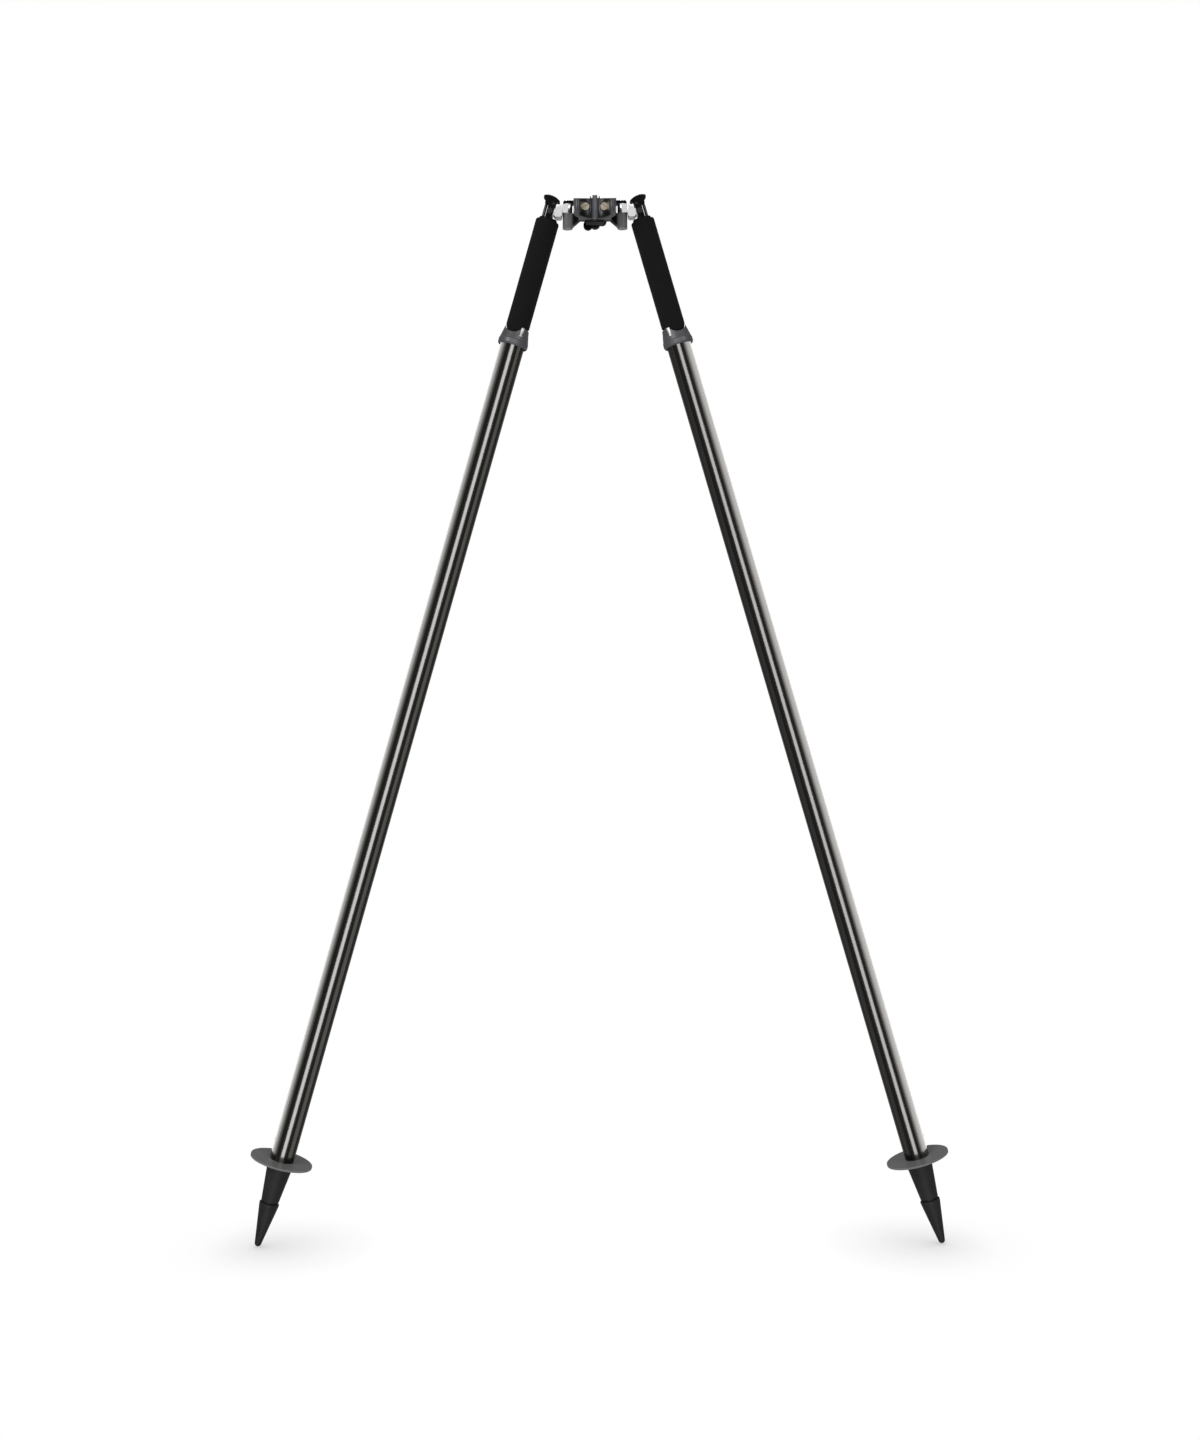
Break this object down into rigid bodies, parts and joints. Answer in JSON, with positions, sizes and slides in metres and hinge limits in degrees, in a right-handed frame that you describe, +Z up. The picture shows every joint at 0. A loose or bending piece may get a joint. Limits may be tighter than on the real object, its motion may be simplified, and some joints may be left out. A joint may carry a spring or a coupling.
{
  "type": "prism pole bipod",
  "caption": "Surveyor's prism pole bipod: open pole clamp, wing screw, two swinging telescopic legs with foam grips, thumb-release levers, collars, step discs and points",
  "frame": {"origin": "on the pole's axis at the clamp's mid-height", "axes": "+Z up the pole, -Y out of the clamp's mouth, +X to the right as seen from the mouth"},
  "size_m": [0.7254, 0.0728, 1.0931],
  "materials": {
    "head_black": "moulded, semi-gloss black",
    "lever_black": "moulded, satin black",
    "brass": "turned",
    "steel": "turned",
    "dark_steel": "blackened",
    "bar_grey": "smooth grey",
    "nylon": "natural white",
    "bright_aluminium": "polished",
    "tube_bright": "drawn, bright",
    "rod_aluminium": "plain",
    "foam": "closed-cell foam, matte black",
    "tube_dark": "dark anodised, glossy",
    "collar_grey": "moulded, dark grey",
    "disc_grey": "dark grey, satin",
    "foot_black": "moulded, near black",
    "point_black": "blackened, matte"
  },
  "bodies": {
    "head": {"yoke": "head_black", "pole_clamp": "head_black", "clamp_screws": "brass", "screw_bush": "brass", "left_swing_pin": "steel", "right_swing_pin": "steel", "swing_washers": "nylon"},
    "presser": {"pressure_bar": "bar_grey"},
    "knob": {"clamp_stud": "steel", "wing_knob": "lever_black"},
    "left_swivel": {"left_swivel_block": "bright_aluminium"},
    "left_leg": {"left_hinge_pin": "dark_steel", "left_hinge_washers": "nylon", "left_leg_head": "head_black", "left_head_pin": "steel", "left_inner_tube": "tube_bright", "left_foam_grip": "foam", "left_lever_pin": "dark_steel", "left_return_spring": "steel", "left_spring_seat": "nylon", "left_brake_seat": "rod_aluminium", "left_brake_collet": "nylon"},
    "left_lever": {"left_thumb_lever": "lever_black"},
    "left_release": {"left_release_rod": "dark_steel", "left_brake_cone": "rod_aluminium", "left_brake_nut": "steel"},
    "left_lower_leg": {"left_outer_tube": "tube_dark", "left_collar": "collar_grey", "left_collar_bush": "nylon", "left_foot_disc": "disc_grey", "left_foot_cone": "foot_black", "left_foot_point": "point_black", "left_foot_pin": "steel"},
    "right_swivel": {"right_swivel_block": "bright_aluminium"},
    "right_leg": {"right_hinge_pin": "dark_steel", "right_hinge_washers": "nylon", "right_leg_head": "head_black", "right_head_pin": "steel", "right_inner_tube": "tube_bright", "right_foam_grip": "foam", "right_lever_pin": "dark_steel", "right_return_spring": "steel", "right_spring_seat": "nylon", "right_brake_seat": "rod_aluminium", "right_brake_collet": "nylon"},
    "right_lever": {"right_thumb_lever": "lever_black"},
    "right_release": {"right_release_rod": "dark_steel", "right_brake_cone": "rod_aluminium", "right_brake_nut": "steel"},
    "right_lower_leg": {"right_outer_tube": "tube_dark", "right_collar": "collar_grey", "right_collar_bush": "nylon", "right_foot_disc": "disc_grey", "right_foot_cone": "foot_black", "right_foot_point": "point_black", "right_foot_pin": "steel"}
  },
  "joints": [
    {"name": "presser_slide", "type": "slide", "parent": "head", "child": "presser", "axis": [0, -1, 0], "range_m": [0, 0.0025]},
    {"name": "knob_turn", "type": "hinge", "parent": "presser", "child": "knob", "pos_m": [0, 0.045, -0.0065], "axis": [0, -1, 0], "range_deg": [0, 910]},
    {"name": "left_swing", "type": "hinge", "parent": "head", "child": "left_swivel", "pos_m": [-0.0285, 0.031, 0.005], "axis": [0, 0, -1], "range_deg": [-20, 70]},
    {"name": "left_spread", "type": "hinge", "parent": "left_swivel", "child": "left_leg", "pos_m": [-0.0468, 0.031, 0], "axis": [0, 1, 0], "range_deg": [-16.1, 10]},
    {"name": "left_extend", "type": "slide", "parent": "left_leg", "child": "left_lower_leg", "axis": [-0.2773, 0, -0.9608], "range_m": [0, 0.68]},
    {"name": "left_lever_press", "type": "hinge", "parent": "left_leg", "child": "left_lever", "pos_m": [-0.043, 0.031, 0.00775], "axis": [0, -1, 0], "range_deg": [0, 6]},
    {"name": "left_release_slide", "type": "slide", "parent": "left_leg", "child": "left_release", "axis": [-0.2773, 0, -0.9608], "range_m": [0, 0.00078], "stiffness_N_per_m": 2000, "springref_m": -0.0015},
    {"name": "right_swing", "type": "hinge", "parent": "head", "child": "right_swivel", "pos_m": [0.0285, 0.031, 0.005], "axis": [0, 0, 1], "range_deg": [-20, 70]},
    {"name": "right_spread", "type": "hinge", "parent": "right_swivel", "child": "right_leg", "pos_m": [0.0468, 0.031, 0], "axis": [0, -1, 0], "range_deg": [-16.1, 10]},
    {"name": "right_extend", "type": "slide", "parent": "right_leg", "child": "right_lower_leg", "axis": [0.2773, 0, -0.9608], "range_m": [0, 0.68]},
    {"name": "right_lever_press", "type": "hinge", "parent": "right_leg", "child": "right_lever", "pos_m": [0.043, 0.031, 0.00775], "axis": [0, 1, 0], "range_deg": [0, 6]},
    {"name": "right_release_slide", "type": "slide", "parent": "right_leg", "child": "right_release", "axis": [0.2773, 0, -0.9608], "range_m": [0, 0.00078], "stiffness_N_per_m": 2000, "springref_m": -0.0015}
  ],
  "couplings": [
    {"joint": "knob_turn", "follows": "presser_slide", "rad_per_m": 6283.2},
    {"joint": "left_lever_press", "follows": "left_release_slide", "rad_per_m": 133.33},
    {"joint": "right_lever_press", "follows": "right_release_slide", "rad_per_m": 133.33}
  ]
}
